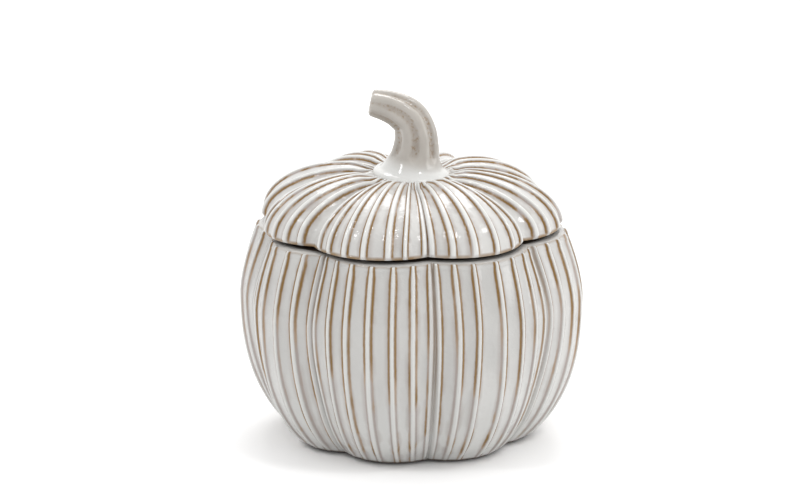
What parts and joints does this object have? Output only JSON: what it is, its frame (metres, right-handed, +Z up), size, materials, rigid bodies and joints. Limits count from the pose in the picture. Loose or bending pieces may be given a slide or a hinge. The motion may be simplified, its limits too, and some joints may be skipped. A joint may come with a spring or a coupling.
{
  "type": "lidded pumpkin jar",
  "caption": "Ribbed ceramic pumpkin jar: a lobed body on a low foot, with a domed lid that lifts off by its curved stem. A seasonal decoration that holds treats.",
  "frame": {"origin": "on the jar's axis, in the plane of the surface that the foot ring stands on", "axes": "+Z up along the jar's axis; -Y is the front; the stem's tip points to -X"},
  "size_m": [0.1769, 0.1765, 0.1821],
  "materials": {
    "jar_glaze": "glossy cream-white reactive glaze that breaks to brown on both sides of each rib; the foot ring is bare clay",
    "lid_glaze": "glossy cream-white reactive glaze that breaks to brown beside the ribs and along the edge",
    "ring_clay": "matt, bare fired clay",
    "stem_glaze": "glossy warm grey-beige glaze, thin and browner in the flutes"
  },
  "bodies": {
    "jar": {"jar_body": "jar_glaze"},
    "lid": {"lid_shell": "lid_glaze", "lid_locating_ring": "ring_clay", "stem_handle": "stem_glaze"}
  },
  "joints": [
    {"name": "lid_lift", "type": "slide", "parent": "jar", "child": "lid", "axis": [0, 0, 1], "range_m": [0, 0.1]}
  ]
}
